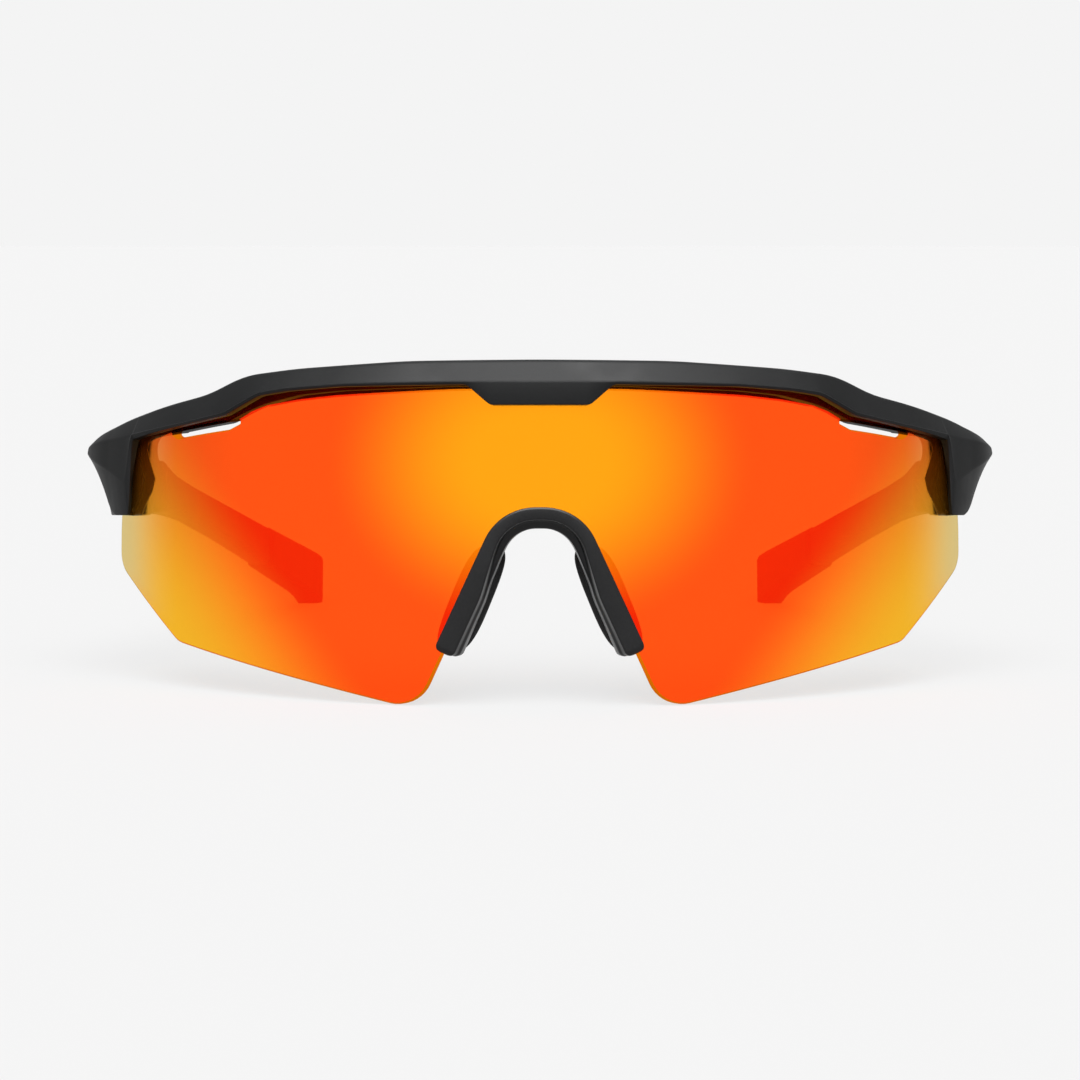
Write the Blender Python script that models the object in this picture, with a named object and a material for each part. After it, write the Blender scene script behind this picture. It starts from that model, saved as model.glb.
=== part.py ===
"""Shield glacier glasses: a half-rim brow frame, one cylindrical lens, a nose clip and folding temples.

Run with: blender --background --python part.py
Blender works in metres. Every size in this file is in millimetres, and finish() scales each mesh.

The front is drawn on a flat sheet and then wrapped round the lens:
  s  arc length from the middle, to the wearer's left or right along the lens's outer face
  w  distance out of that face, towards the front
  v  height up the sheet
Each temple is drawn in its hinge's own frame, with u running back from the hinge pin.
"""

import math

import bmesh
import bpy
import numpy as np
from mathutils import Matrix, Vector

MM = 0.001

# Lens and how the front stands
LENS_RADIUS = 88.0
LENS_THICK = 2.0
LENS_ARC = 80.0  # the path leaves the lens's circle here and turns the corner to the temples
CORNER_RADIUS = 14.0
PATH_END = 86.5
FRONT_LEAN = math.radians(5)  # top further back than bottom
FRONT_LIFT = 0.24  # brings the two lobes of the lens down to the table
APEX_Y = -76.28  # middle of the lens's front face, so that the origin is under the middle of the box

# Hinges and temples
HINGE_X = 67.4
HINGE_Y = 47.5  # behind the lens's front face
HINGE_Z = 31.5
TEMPLE_DROP = math.radians(14.3)  # how far the open temples slope down to the table
TEMPLE_END = 107.5
GRIP_START = 68.0
TANG_END = 82.0

LUG_RADIUS = 2.6
LUG_INNER = 2.3
LUG_OUTER = 4.6
KNUCKLE_HALF = 2.1
KNUCKLE_RADIUS = 2.5
SCREW_RADIUS = 0.65
SCREW_HEAD_RADIUS = 1.5
SCREW_HEAD_DEPTH = 0.9
INSERT_RADIUS = 1.4
BUSH_RADIUS = 1.35
CORE_RADIUS = 0.7
GAP = 0.3
RUNNING_GAP = 0.1
ROUND_SIDES = 24

# Heights of the brow along s, as corners of lines whose bends are then rounded
TOP_LINE = [(0, 53.6), (21, 53.5), (40, 52.6), (49, 51.8), (56.5, 49.0), (66, 47.4), (76, 45.3), (84, 43.2), (88, 42.3)]
RIDGE_LINE = [(0, 50.35), (13.6, 50.2), (31, 49.9), (40.3, 49.3), (45.3, 48.7), (51.8, 45.7), (56.5, 45.0), (73.2, 43.3),
              (74.8, 34.9), (81, 37.5), (88, 40.7)]
LIP_LINE = [(0, 46.4), (7.6, 46.4), (11.1, 49.85), (31, 49.45), (40.3, 48.85), (45.3, 48.2), (51.8, 45.25), (56.5, 44.6),
            (73.2, 42.9), (74.4, 29.9), (88, 30.0)]
FLANGE_LINE = [(0, 49.6), (14, 49.45), (33, 48.95), (40.3, 48.5), (46, 47.9), (49, 47.1), (52.1, 45.6), (56.5, 44.1),
               (61, 43.4), (68, 42.7), (74.5, 42.2), (77.5, 29.9), (88, 29.9)]
LINER_LINE = [(0, 49.0), (15.4, 48.9), (35.3, 48.2), (43.2, 47.6), (49.5, 46.8), (52.8, 45.9), (56.3, 44.6), (60, 43.9)]
# How far the ridge and the lip stand out of the lens face, and where the back of the brow lies
RIDGE_OUT = [(0, 2.4), (60, 2.2), (80, 2.4), (87, 3.2)]
LIP_OUT = [(0, 2.1), (60, 1.9), (76, 1.8), (80, 0.4), (84, -2.0), (88, -3.0)]
BACK_OUT = [(0, -5.4), (60, -5.2), (88, -5.2)]

# Half of the lens's outline, corner by corner, each with its fillet radius
LENS_CORNERS = [(42.0, 50.3, 4), (51.5, 47.3, 6), (77.8, 43.2, 1.5), (79.0, 27.0, 10), (79.1, 21.5, 4.5),
                (62.6, 9.35, 5), (19.3, -0.7, 5.5)]
SLOT_CORNERS = [(50.2, 45.0, 0.4), (54.3, 44.15, 2), (65.8, 42.95, 0.4), (65.5, 42.0, 0.4), (58.6, 42.35, 2),
                (54.3, 42.95, 2), (50.0, 44.2, 0.3)]  # vent through the lens, just under the brow
LENS_TOP = 51.0
NOTCH_CORNERS = [(15.2, 8.0, 20), (5.3, 29.4, 7.3)]
NOTCH_TOP = 29.4

# Rear cheek of each end piece, seen through the lens
CHEEK_CORNERS = [(82.0, 43.0, 0), (69.0, 44.4, 0), (69.2, 42.5, 0.4), (75.2, 42.1, 2.1), (74.9, 39.2, 2.0),
                 (72.2, 34.9, 0.9), (77.2, 29.95, 0.6), (82.0, 29.9, 0)]

# Nose clip round the notch: g is how far its front face reaches inside the notch's edge
CLIP_OVER = 1.3
CLIP_INSIDE = [(0, 0.7), (5, 0.8), (12, 1.9), (40, 2.0)]
CLIP_FRONT = 1.5
CLIP_BACK = -4.8
CLIP_STEP = [(0, 1.35), (4, 1.2), (10, 0.55), (40, 0.5)]
CLIP_FOOT = 8.6

PAD_CENTRE = Vector((10.8, 9.9, 16.4))
PAD_LONG = Vector((0.376, 0, -0.926)).normalized()
PAD_WIDE = Vector((0.62, 0.785, 0)).normalized()
PAD_LENGTH = 18.0
PAD_WIDTH = 10.2
PAD_THICK = 2.6
STRIP_LENGTH = 5.0
STRIP_THICK = 0.7
STRIP_REACH = (3.9, 10.4)  # from inside the back of the clip to inside the pad

# Rubber strip along the back of the brow
LINER_HALF = 50.0
LINER_THICK = 1.7
TONGUE_DEEP = 1.2
TONGUE_HALF = 0.5

# Temple faces along u
INNER_FACE = [(-8, 64.9), (-3, 64.0), (107.5, 43.3)]
OUTER_FACE = [(-8, 74.7), (-2, 74.4), (4, 72.6), (12, 68.6), (20, 65.3), (35, 61.5), (107.5, 47.6)]
LOW_FACE = [(-8, 70.3), (0, 69.9), (6, 68.4), (14, 65.4), (22, 63.4), (107.5, 47.3)]
ARM_TOP = [(-8, 5.3), (0, 4.5), (4, 4.0), (9, 2.7), (20, 2.5), (50, 2.9), (80, 3.5)]
ARM_FOOT = [(-8, -6.0), (0, -5.2), (5, -4.4), (12, -3.6), (20, -3.2), (40, -3.2), (60, -3.6), (80, -4.3)]
ARM_RIDGE = [(-8, 4.4), (2, 3.5), (10, 1.3), (40, 0.4), (80, 0.2)]
GRIP_TOP = [(60, 3.3), (80, 3.7), (100, 4.1), (108, 4.1)]
GRIP_FOOT = [(60, -3.8), (80, -4.4), (96, -4.9), (101, -5.4), (104, -6.3), (108, -6.6)]
GRIP_SWELL = 0.35  # the rubber stands this far proud of the arm


# ---------------------------------------------------------------- helpers

def rounded(corners, s, reach=1.0):
    """Height at s of the line through these corners, each bend rounded over reach on both sides."""
    at, heights = zip(*corners)
    near = np.linspace(-reach, reach, 9) + abs(s)
    return float(np.mean(np.interp(np.abs(near), at, heights)))


def filleted(corners, closed=True):
    """Points of an outline through corners (s, v, radius), each corner turned into an arc."""
    out = []
    count = len(corners)
    for i, (s, v, radius) in enumerate(corners):
        here = Vector((s, v))
        if radius == 0 or (not closed and i in (0, count - 1)):
            out.append(here)
            continue
        before = (Vector(corners[i - 1][:2]) - here).normalized()
        after = (Vector(corners[(i + 1) % count][:2]) - here).normalized()
        half = before.angle(after) / 2
        centre = here + (before + after).normalized() * (radius / math.sin(half))
        start = here + before * (radius / math.tan(half))
        end = here + after * (radius / math.tan(half))
        turn = (start - centre).angle_signed(end - centre)
        steps = max(2, round(abs(turn) * max(radius, 1.5) / 1.3))
        for k in range(steps + 1):
            out.append(centre + Matrix.Rotation(-turn * k / steps, 2) @ (start - centre))
    return out


def on_front(s, w, v):
    """Where the point (s, w, v) of the flat sheet lies once it is wrapped round the lens."""
    side = -1 if s < 0 else 1
    run = abs(s)
    edge = LENS_ARC / LENS_RADIUS
    if run <= LENS_ARC:
        angle = run / LENS_RADIUS
        x = LENS_RADIUS * math.sin(angle)
        y = LENS_RADIUS * (1 - math.cos(angle))
    else:
        angle = edge + (run - LENS_ARC) / CORNER_RADIUS
        x = LENS_RADIUS * math.sin(edge) + CORNER_RADIUS * (math.sin(angle) - math.sin(edge))
        y = LENS_RADIUS * (1 - math.cos(edge)) + CORNER_RADIUS * (math.cos(edge) - math.cos(angle))
    return Vector((side * (x + w * math.sin(angle)), y - w * math.cos(angle), v))


def wrap(bm):
    for vert in bm.verts:
        vert.co = on_front(*vert.co)


def material(name, colour, roughness, metallic=0.0, alpha=1.0):
    made = bpy.data.materials.get(name) or bpy.data.materials.new(name)
    made.use_nodes = True
    shader = made.node_tree.nodes["Principled BSDF"]
    shader.inputs["Base Color"].default_value = (*colour, 1)
    shader.inputs["Roughness"].default_value = roughness
    shader.inputs["Metallic"].default_value = metallic
    shader.inputs["Alpha"].default_value = alpha
    made.diffuse_color = (*colour, alpha)
    return made


def finish(bm, name, parent, finish_of=None, sharp=32):
    """Turns a bmesh in millimetres into an object. With no material it is a cutter or a piece to join."""
    bmesh.ops.remove_doubles(bm, verts=bm.verts, dist=1e-4)
    bmesh.ops.recalc_face_normals(bm, faces=bm.faces)
    bmesh.ops.scale(bm, verts=bm.verts, vec=(MM, MM, MM))
    mesh = bpy.data.meshes.new(name)
    bm.to_mesh(mesh)
    bm.free()
    obj = bpy.data.objects.new(name, mesh)
    bpy.context.scene.collection.objects.link(obj)
    obj.parent = parent
    if finish_of is None:
        obj.hide_render = True
        obj.display_type = "WIRE"
    else:
        mesh.materials.append(finish_of)
        mesh.shade_smooth()
        mesh.set_sharp_from_angle(angle=math.radians(sharp))
    return obj


def combine(target, other, operation, overlapping=False):
    step = target.modifiers.new(f"{operation.lower()} {other.name}", "BOOLEAN")
    step.operation = operation
    step.object = other
    step.solver = "EXACT"
    step.use_self = overlapping


def loft(bm, rings, loop=True):
    """Skins a row of equal rings and caps both ends."""
    loops = [[bm.verts.new(co) for co in ring] for ring in rings]
    for ring in loops:
        count = len(ring)
        for i in range(count):
            bm.edges.new((ring[i], ring[(i + 1) % count]))
    edges = [[bm.edges.get((ring[i], ring[(i + 1) % len(ring)])) for i in range(len(ring))] for ring in loops]
    for first, second in zip(edges, edges[1:]):
        bmesh.ops.bridge_loops(bm, edges=first + second)
    if loop:
        bm.faces.new(loops[0])
        bm.faces.new(loops[-1])


def slab(bm, outline, low, high, step=4.0):
    """A flat plate of this outline, from w = low to w = high, cut across so that it can be wrapped."""
    face = bm.faces.new([bm.verts.new((s, high, v)) for s, v in outline])
    grown = bmesh.ops.extrude_face_region(bm, geom=[face])
    moved = [item for item in grown["geom"] if isinstance(item, bmesh.types.BMVert)]
    bmesh.ops.translate(bm, verts=moved, vec=(0, low - high, 0))
    sides = [s for s, _ in outline]
    cut = math.ceil(min(sides) / step) * step
    while cut < max(sides):
        bmesh.ops.bisect_plane(bm, geom=bm.verts[:] + bm.edges[:] + bm.faces[:], plane_co=(cut, 0, 0), plane_no=(1, 0, 0))
        cut += step
    bmesh.ops.triangulate(bm, faces=[f for f in bm.faces if len(f.verts) > 4])


def cut_flat(bm, point, away):
    """Takes off everything on the far side of a plane and closes the hole."""
    cut = bmesh.ops.bisect_plane(bm, geom=bm.verts[:] + bm.edges[:] + bm.faces[:], plane_co=point, plane_no=away,
                                 clear_outer=True)
    rim = [e for e in cut["geom_cut"] if isinstance(e, bmesh.types.BMEdge)]
    bmesh.ops.holes_fill(bm, edges=rim)


def bar(bm, radius, low, high, matrix=None):
    """A round bar along Z, from low to high."""
    made = bmesh.ops.create_cone(bm, cap_ends=True, segments=ROUND_SIDES, radius1=radius, radius2=radius,
                                 depth=high - low)
    bmesh.ops.translate(bm, verts=made["verts"], vec=(0, 0, (low + high) / 2))
    if matrix is not None:
        bmesh.ops.transform(bm, verts=made["verts"], matrix=matrix)


def turned(bm, profile, matrix=None, closed=False):
    """A turned piece: the outline (radius, z) spun round Z. A sleeve's outline is closed."""
    verts = [bm.verts.new((r, 0, z)) for r, z in profile]
    edges = [bm.edges.new(pair) for pair in zip(verts, verts[1:])]
    if closed:
        edges.append(bm.edges.new((verts[-1], verts[0])))
    before = set(bm.verts) - set(verts)
    bmesh.ops.spin(bm, geom=verts + edges, axis=(0, 0, 1), cent=(0, 0, 0), angle=2 * math.pi, steps=ROUND_SIDES,
                   use_merge=True)
    if matrix is not None:
        bmesh.ops.transform(bm, verts=[v for v in bm.verts if v not in before], matrix=matrix)


def block(bm, low, high, matrix=None):
    made = bmesh.ops.create_cube(bm, size=1)
    size = [b - a for a, b in zip(low, high)]
    middle = [(a + b) / 2 for a, b in zip(low, high)]
    bmesh.ops.scale(bm, verts=made["verts"], vec=size)
    bmesh.ops.translate(bm, verts=made["verts"], vec=middle)
    if matrix is not None:
        bmesh.ops.transform(bm, verts=made["verts"], matrix=matrix)


def place(name, location, turn):
    empty = bpy.data.objects.new(name, None)
    empty.empty_display_size = 0.01
    empty.location = Vector(location) * MM
    empty.rotation_euler = (turn, 0, 0)
    bpy.context.scene.collection.objects.link(empty)
    return empty


def hinge_matrix(side):
    """The hinge's frame as seen from the front's frame, in millimetres."""
    front = Matrix.Translation((0, APEX_Y, FRONT_LIFT)) @ Matrix.Rotation(-FRONT_LEAN, 4, "X")
    hinge = Matrix.Translation((side * HINGE_X, APEX_Y + HINGE_Y, HINGE_Z)) @ Matrix.Rotation(-TEMPLE_DROP, 4, "X")
    return front.inverted() @ hinge


# ---------------------------------------------------------------- the front

def lens_outline(grow=0.0):
    """The whole outline of the lens, anticlockwise from the top middle, moved outwards by grow."""
    half = filleted([(0, LENS_TOP, 0)] + LENS_CORNERS + NOTCH_CORNERS + [(0, NOTCH_TOP, 0)], closed=False)
    points = half + [Vector((-p.x, p.y)) for p in reversed(half[1:-1])]
    if not grow:
        return points
    moved = []
    for i, here in enumerate(points):
        along = (points[(i + 1) % len(points)] - points[i - 1]).normalized()
        moved.append(here + Vector((-along.y, along.x)) * grow)
    return moved


def notch_path():
    """The lens's edge round the nose, from the wearer's one side over the top to the other."""
    half = filleted([(19.0, -0.6, 0)] + NOTCH_CORNERS + [(0, NOTCH_TOP, 0)], closed=False)
    above = [p for p in half if p.y > CLIP_FOOT]
    below = half[half.index(above[0]) - 1]
    points = [below.lerp(above[0], (CLIP_FOOT - below.y) / (above[0].y - below.y))] + above
    fine = [points[0]]
    for a, b in zip(points, points[1:]):
        steps = max(1, math.ceil((b - a).length / 2.2))
        fine += [a.lerp(b, (k + 1) / steps) for k in range(steps)]
    return fine + [Vector((-p.x, p.y)) for p in reversed(fine[:-1])]


def brow_ring(s):
    top = rounded(TOP_LINE, s, 2.5)
    ridge = rounded(RIDGE_LINE, s, 0.8)
    lip = rounded(LIP_LINE, s, 0.5)
    flange = rounded(FLANGE_LINE, s, 0.9)
    out = rounded(RIDGE_OUT, s)
    lip_out = rounded(LIP_OUT, s)
    back = rounded(BACK_OUT, s)
    ring = [(-0.7, lip), (lip_out, lip), (out, min(ridge, top - 0.7)), (out - 1.7, top - 0.3), (-2.0, top),
            (back + 0.9, top - 0.5), (back, top - 1.5), (back, flange + 0.5), (back + 0.6, flange), (-1.3, flange)]
    if lip_out < 0.4:
        ring[0] = (lip_out - 0.5, lip - 0.05)
        ring[9] = (lip_out - 1.0, flange)
    return [on_front(s, w, v) for w, v in ring]


def brow_stations():
    """Stations along s: close together where the lines bend, wider on the smooth stretches."""
    half = list(np.arange(0, 7, 2.3)) + list(np.arange(7, 12, 0.7)) + list(np.arange(12.6, 42, 2.6))
    half += list(np.arange(42, 53, 1.4)) + list(np.arange(54, 72, 2.2)) + list(np.arange(72, 78, 0.55))
    half += list(np.linspace(78.2, PATH_END, 8))
    return [-s for s in reversed(half[1:])] + half


def liner_ring(s, grow=0.0, tongue_only=False):
    back = rounded(BACK_OUT, s)
    top = rounded(TOP_LINE, s, 2.5) - 1.9
    foot = rounded(LINER_LINE, s, 0.9)
    middle = (top + foot + 1) / 2
    half = TONGUE_HALF + grow
    root = back - GAP
    if tongue_only:
        ring = [(back + TONGUE_DEEP + grow, middle - half), (back + TONGUE_DEEP + grow, middle + half),
                (back - 1, middle + half), (back - 1, middle - half)]
    else:
        ring = [(back + TONGUE_DEEP, middle - half), (back + TONGUE_DEEP, middle + half), (root, middle + half),
                (root, top), (root - LINER_THICK + 0.5, top), (root - LINER_THICK, top - 0.6),
                (root - LINER_THICK, foot + 0.6), (root - LINER_THICK + 0.5, foot), (root, foot), (root, middle - half)]
    return [on_front(s, w, v) for w, v in ring]


def build_frame(front, nylon):
    bm = bmesh.new()
    loft(bm, [brow_ring(s) for s in brow_stations()])
    frame = finish(bm, "brow_frame", front, nylon)

    joined = bmesh.new()
    for side in (-1, 1):
        outline = [Vector((side * p.x, p.y)) for p in filleted(CHEEK_CORNERS)]
        cheek = bmesh.new()
        slab(cheek, outline if side > 0 else outline[::-1], rounded(BACK_OUT, 76) + 0.02, -1.0, step=3.0)
        wrap(cheek)
        cheek_mesh = bpy.data.meshes.new("cheek")
        cheek.to_mesh(cheek_mesh)
        cheek.free()
        joined.from_mesh(cheek_mesh)
        bpy.data.meshes.remove(cheek_mesh)
    combine(frame, finish(joined, "join_cheeks", front), "UNION")

    lugs = bmesh.new()
    for side in (-1, 1):
        to_hinge = hinge_matrix(side)
        for low, high in ((LUG_INNER, LUG_OUTER), (-LUG_OUTER, -LUG_INNER)):
            prism(lugs, half_round(LUG_RADIUS, -6.6), low, high, to_hinge)
    combine(frame, finish(lugs, "join_lugs", front), "UNION")

    cut = bmesh.new()
    slab(cut, lens_outline(grow=GAP), -LENS_THICK - GAP, GAP, step=3.9)
    wrap(cut)
    combine(frame, finish(cut, "cut_lens_groove", front), "DIFFERENCE")

    cut = bmesh.new()
    loft(cut, [liner_ring(s, grow=0.15, tongue_only=True) for s in np.linspace(-LINER_HALF - 0.4, LINER_HALF + 0.4, 36)])
    combine(frame, finish(cut, "cut_liner_slot", front), "DIFFERENCE")

    cut = bmesh.new()
    for side in (-1, 1):
        to_hinge = hinge_matrix(side)
        seat = LUG_OUTER - SCREW_HEAD_DEPTH
        hole, head = SCREW_RADIUS + RUNNING_GAP, SCREW_HEAD_RADIUS + RUNNING_GAP
        turned(cut, [(0, LUG_INNER - 1), (hole, LUG_INNER - 1), (hole, seat), (head, seat), (head, LUG_OUTER + 1),
                     (0, LUG_OUTER + 1)], to_hinge)
        bar(cut, INSERT_RADIUS + RUNNING_GAP, -LUG_OUTER + 0.5, -LUG_INNER + 1, to_hinge)
    combine(frame, finish(cut, "cut_hinge_bores", front), "DIFFERENCE")
    return frame


def prism(bm, outline, low, high, matrix=None):
    """An outline in the hinge's x and u, pulled from low to high along the pin."""
    made = bmesh.new()
    face = made.faces.new([made.verts.new((x, u, low)) for x, u in outline])
    grown = bmesh.ops.extrude_face_region(made, geom=[face])
    bmesh.ops.translate(made, verts=[g for g in grown["geom"] if isinstance(g, bmesh.types.BMVert)],
                        vec=(0, 0, high - low))
    if matrix is not None:
        bmesh.ops.transform(made, verts=made.verts, matrix=matrix)
    mesh = bpy.data.meshes.new("prism")
    made.to_mesh(mesh)
    made.free()
    bm.from_mesh(mesh)
    bpy.data.meshes.remove(mesh)


def half_round(radius, reach):
    """Outline of an ear round the pin, whose straight sides run to u = reach."""
    turn = -math.copysign(1, reach)
    arc = [(radius * math.cos(math.pi * k / 12), turn * radius * math.sin(math.pi * k / 12)) for k in range(13)]
    return arc + [(-radius, reach), (radius, reach)]


def build_lens(front, mirrored):
    bm = bmesh.new()
    slab(bm, lens_outline(), -LENS_THICK, 0, step=3.0)
    wrap(bm)
    lens = finish(bm, "shield_lens", front, mirrored)
    for side in (-1, 1):
        vent = bmesh.new()
        outline = [Vector((side * p.x, p.y)) for p in filleted(SLOT_CORNERS)]
        slab(vent, outline if side > 0 else outline[::-1], -LENS_THICK - 1, 1, step=3.3)
        wrap(vent)
        combine(lens, finish(vent, "cut_vent_" + ("right" if side < 0 else "left"), front), "DIFFERENCE")
    return lens


def build_liner(front, rubber):
    bm = bmesh.new()
    loft(bm, [liner_ring(s) for s in np.linspace(-LINER_HALF, LINER_HALF, 41)])
    return finish(bm, "brow_liner", front, rubber)


def pad_matrix(side):
    """The nose pad's own frame: X along its length, Y across it and Z out of its face."""
    out = PAD_LONG.cross(PAD_WIDE)
    turn = Matrix((PAD_LONG, PAD_WIDE, out)).transposed().to_4x4()
    return Matrix.Diagonal((side, 1, 1, 1)) @ Matrix.Translation(PAD_CENTRE) @ turn


def build_nose_clip(front, nylon):
    path = notch_path()
    rings = []
    for i, here in enumerate(path):
        before = path[max(i - 1, 0)]
        after = path[min(i + 1, len(path) - 1)]
        along = (after - before).normalized()
        out = Vector((along.y, -along.x))  # towards the lens
        inside = rounded(CLIP_INSIDE, NOTCH_TOP - here.y)
        step = inside + rounded(CLIP_STEP, NOTCH_TOP - here.y)
        ring = [(CLIP_OVER, CLIP_FRONT - 0.3), (CLIP_OVER - 0.3, CLIP_FRONT), (-inside + 0.25, CLIP_FRONT),
                (-inside, CLIP_FRONT - 0.3), (-inside - 0.1, -0.5), (-step, -1.1), (-step, CLIP_BACK + 0.4),
                (-step + 0.4, CLIP_BACK), (0.5, CLIP_BACK), (CLIP_OVER, CLIP_BACK + 1.1)]
        rings.append([on_front(here.x + out.x * n, w, here.y + out.y * n) for n, w in ring])
    bm = bmesh.new()
    loft(bm, rings)
    clip = finish(bm, "nose_clip", front, nylon)

    cut = bmesh.new()
    slab(cut, lens_outline(grow=GAP), -LENS_THICK - GAP, GAP, step=3.7)
    wrap(cut)
    combine(clip, finish(cut, "cut_clip_groove", front), "DIFFERENCE")
    cut = bmesh.new()
    for side in (-1, 1):
        strip(cut, side, grow=0.1)
    combine(clip, finish(cut, "cut_strip_slots", front), "DIFFERENCE")
    return clip


def strip(bm, side, grow=0.0):
    """The soft metal strip that joins a pad to the clip, straight back from the clip."""
    back = Vector((0, 1, 0))
    turn = Matrix((PAD_LONG, back, PAD_LONG.cross(back))).transposed().to_4x4()
    place_strip = Matrix.Diagonal((side, 1, 1, 1)) @ Matrix.Translation((PAD_CENTRE.x, 0, PAD_CENTRE.z)) @ turn
    long, thick = STRIP_LENGTH / 2 + grow, STRIP_THICK / 2 + grow
    block(bm, (-long, STRIP_REACH[0] - grow, -thick), (long, STRIP_REACH[1] + grow, thick), place_strip)


def build_nose_pad(front, side, rubber):
    """An oval rubber pad, carried by its strip."""
    name = "nose_pad_" + ("right" if side < 0 else "left")
    bm = bmesh.new()
    sides = 28
    rings = []
    for height, share in ((-0.5, 0.86), (-0.3, 1.0), (0.3, 1.0), (0.5, 0.86)):
        ring = []
        for k in range(sides):
            angle = 2 * math.pi * k / sides
            reach = 1 / (abs(math.cos(angle)) ** 3 + abs(math.sin(angle)) ** 3) ** (1 / 3)
            ring.append(Vector((math.cos(angle) * reach * PAD_LENGTH / 2 * share,
                                math.sin(angle) * reach * PAD_WIDTH / 2 * share, height * PAD_THICK)))
        rings.append([pad_matrix(side) @ p for p in ring])
    loft(bm, rings)
    pad = finish(bm, name, front, rubber)
    slot = bmesh.new()
    strip(slot, side, grow=0.1)
    combine(pad, finish(slot, "cut_" + name, front), "DIFFERENCE")
    return pad


def build_nose_core(front, side, steel):
    bm = bmesh.new()
    strip(bm, side)
    return finish(bm, "nose_core_" + ("right" if side < 0 else "left"), front, steel)


# ---------------------------------------------------------------- temples and hinges

def line_at(corners, u, reach=2.0):
    """Like rounded(), for lines that also run to negative u."""
    at, heights = zip(*corners)
    return float(np.mean(np.interp(np.linspace(u - reach, u + reach, 9), at, heights)))


def build_arm(hinge, side, nylon):
    name = "temple_arm_" + ("right" if side < 0 else "left")
    bm = bmesh.new()
    stations = list(np.linspace(-8, 6.3, 8)) + list(np.linspace(10, GRIP_START, 15))
    rings = [arm_ring(u, side) for u in stations]
    loft(bm, rings)
    to_hinge = hinge_matrix(side).inverted()
    rear = (on_front(side * PATH_END, 0, 0) - on_front(side * (PATH_END - 0.1), 0, 0)).normalized()
    rear = to_hinge.to_3x3() @ rear
    cut_flat(bm, to_hinge @ on_front(side * PATH_END, 0, 0) + rear * 0.4, -rear)
    arm = finish(bm, name, hinge, nylon)

    pocket = bmesh.new()
    clear = LUG_RADIUS + 0.4
    outer_arc = [(x, u) for x, u in half_round(clear, -12)[:-2] if x > -0.01]
    prism(pocket, [(side * x, u) for x, u in [(clear, -12)] + outer_arc + [(-9, clear), (-9, -12)]], -12, 12)
    combine(arm, finish(pocket, "cut_pocket_" + name, hinge), "DIFFERENCE")

    knuckle = bmesh.new()
    eye = half_round(KNUCKLE_RADIUS, 5.5)[:-1] + [(0.5, 5.5), (KNUCKLE_RADIUS, 3.3)]
    prism(knuckle, [(side * x, u) for x, u in eye], -KNUCKLE_HALF, KNUCKLE_HALF)
    combine(arm, finish(knuckle, "join_knuckle_" + name, hinge), "UNION")
    pin_bore = bmesh.new()
    bar(pin_bore, BUSH_RADIUS + 0.05, -KNUCKLE_HALF - 1, KNUCKLE_HALF + 1)
    combine(arm, finish(pin_bore, "cut_pin_bore_" + name, hinge), "DIFFERENCE")

    tang = bmesh.new()
    start, end = centre_line(GRIP_START - 2, side), centre_line(TANG_END, side)
    tang_ring = [(-1.1, -2.2), (1.1, -2.2), (1.1, 2.2), (-1.1, 2.2)]
    loft(tang, [[p + Vector((x, 0, h)) for x, h in tang_ring] for p in (start, end)])
    combine(arm, finish(tang, "join_tang_" + name, hinge), "UNION")

    core_bore = bmesh.new()
    bar_between(core_bore, CORE_RADIUS + RUNNING_GAP, centre_line(CORE_SPAN[0] - 0.3, side),
                centre_line(TANG_END + 2, side))
    combine(arm, finish(core_bore, "cut_core_bore_" + name, hinge), "DIFFERENCE")
    return arm


CORE_SPAN = (60.0, 101.0)


def arm_ring(u, side):
    inner = line_at(INNER_FACE, u) - HINGE_X
    outer = line_at(OUTER_FACE, u) - HINGE_X
    low = line_at(LOW_FACE, u) - HINGE_X
    top, foot, ridge = line_at(ARM_TOP, u), line_at(ARM_FOOT, u), line_at(ARM_RIDGE, u)
    return section(u, side, inner, outer, low, top, foot, ridge)


def section(u, side, inner, outer, low, top, foot, ridge):
    """An arm's cross-section: flat inside, a ridge along the outside and the lower flank tucked in."""
    ring = [(inner, foot + 0.8), (inner + 0.8, foot), (low - 0.4, foot), (low, foot + 0.5), (outer, ridge),
            (outer - 0.8, top - 0.1), (inner + 0.8, top), (inner, top - 0.8)]
    return [Vector((side * x, u, h)) for x, h in ring]


def centre_line(u, side):
    middle = (line_at(INNER_FACE, u) + line_at(OUTER_FACE, u)) / 2 - HINGE_X
    return Vector((side * middle, u, 0))


def bar_between(bm, radius, start, end):
    along = end - start
    bar(bm, radius, 0, along.length, Matrix.Translation(start) @ along.to_track_quat("Z", "Y").to_matrix().to_4x4())


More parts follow.
